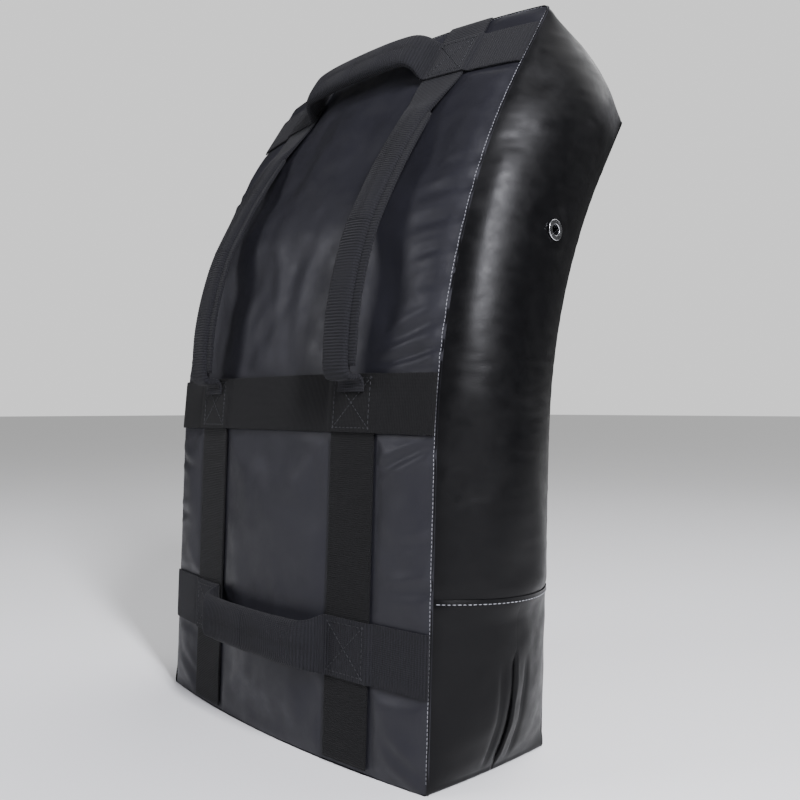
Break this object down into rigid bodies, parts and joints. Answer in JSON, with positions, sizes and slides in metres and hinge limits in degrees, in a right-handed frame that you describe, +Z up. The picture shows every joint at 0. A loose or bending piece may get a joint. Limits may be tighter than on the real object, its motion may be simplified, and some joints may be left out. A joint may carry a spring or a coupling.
{
  "type": "curved kick shield",
  "caption": "Curved foam kick shield in a sewn cover, with a webbing strap harness, padded arm grips and hand grips, side eyelets and a zip under its base",
  "frame": {"origin": "on the floor under the middle of the seam between the holder-side panel and the base", "axes": "+Z up along the standing pad, -Y out of the holder side with the grips, +Y out of the strike side, +X to the right for someone facing the grips"},
  "size_m": [0.4564, 0.3296, 0.6747],
  "materials": {
    "holder_vinyl": "satin coated cloth, dark slate grey",
    "strike_leather": "semi-gloss grained coated cloth, black with one plain red band",
    "gusset_leather": "glossy grained coated cloth, black",
    "strap_webbing": "matte ribbed woven webbing",
    "grip_webbing": "matte ribbed woven webbing over padding",
    "zip_tape": "matte woven tape",
    "zip_coil": "satin nylon",
    "zip_metal": "black enamel",
    "eyelet_nickel": "bright nickel plate",
    "pad_foam": "closed-cell foam",
    "grip_foam": "closed-cell foam"
  },
  "bodies": {
    "root": {"holder_panel": "holder_vinyl", "strike_panel": "strike_leather", "right_gusset": "gusset_leather", "left_gusset": "gusset_leather", "top_gusset": "gusset_leather", "boot_back_strip": "gusset_leather", "boot_front_strip": "gusset_leather", "right_zip_flap": "gusset_leather", "left_zip_flap": "gusset_leather", "zip_tape_back": "zip_tape", "zip_tape_front": "zip_tape", "zip_coil_back": "zip_coil", "zip_coil_front": "zip_coil", "zip_stops": "zip_metal", "holder_foam": "pad_foam", "core_foam": "pad_foam", "strike_foam": "pad_foam", "right_eyelet": "eyelet_nickel", "left_eyelet": "eyelet_nickel", "right_eyelet_washer": "eyelet_nickel", "left_eyelet_washer": "eyelet_nickel", "right_lower_strap": "strap_webbing", "left_lower_strap": "strap_webbing", "right_upper_strap": "strap_webbing", "left_upper_strap": "strap_webbing", "middle_strap": "strap_webbing", "bottom_strap_right": "strap_webbing", "bottom_strap_left": "strap_webbing", "top_strap_right": "strap_webbing", "top_strap_left": "strap_webbing", "bottom_grip_right_tab": "strap_webbing", "bottom_grip_left_tab": "strap_webbing", "top_grip_right_tab": "strap_webbing", "top_grip_left_tab": "strap_webbing", "right_arm_grip_tab": "strap_webbing", "left_arm_grip_tab": "strap_webbing"},
    "bottom_grip": {"bottom_grip_sleeve": "grip_webbing", "bottom_grip_foam": "grip_foam"},
    "top_grip": {"top_grip_sleeve": "grip_webbing", "top_grip_foam": "grip_foam"},
    "right_arm_grip": {"right_arm_grip_sleeve": "grip_webbing", "right_arm_grip_foam": "grip_foam"},
    "left_arm_grip": {"left_arm_grip_sleeve": "grip_webbing", "left_arm_grip_foam": "grip_foam"},
    "zip_slider": {"zip_slider": "zip_metal"},
    "zip_pull": {"zip_pull": "zip_metal"}
  },
  "joints": [
    {"name": "bottom_grip_swing", "type": "hinge", "parent": "root", "child": "bottom_grip", "pos_m": [0, -0.02057, 0.09908], "axis": [1, 0, 0], "range_deg": [-18, 18], "stiffness_Nm_per_rad": 0.05},
    {"name": "top_grip_swing", "type": "hinge", "parent": "root", "child": "top_grip", "pos_m": [0, 0.11054, 0.6355], "axis": [1, 0, 0], "range_deg": [-18, 18], "stiffness_Nm_per_rad": 0.05},
    {"name": "right_arm_grip_swing", "type": "hinge", "parent": "root", "child": "right_arm_grip", "pos_m": [0.108, 0.0331, 0.44969], "axis": [0, 0.3147, 0.9492], "range_deg": [-18, 18], "stiffness_Nm_per_rad": 0.05},
    {"name": "left_arm_grip_swing", "type": "hinge", "parent": "root", "child": "left_arm_grip", "pos_m": [-0.108, 0.0331, 0.44969], "axis": [0, 0.3147, 0.9492], "range_deg": [-18, 18], "stiffness_Nm_per_rad": 0.05},
    {"name": "zip_slide", "type": "slide", "parent": "root", "child": "zip_slider", "axis": [-1, 0, 0], "range_m": [0, 0.288]},
    {"name": "pull_flip", "type": "hinge", "parent": "zip_slider", "child": "zip_pull", "pos_m": [0.144, 0.07254, 0.0033], "axis": [0, 1, 0], "range_deg": [0, 170]}
  ]
}
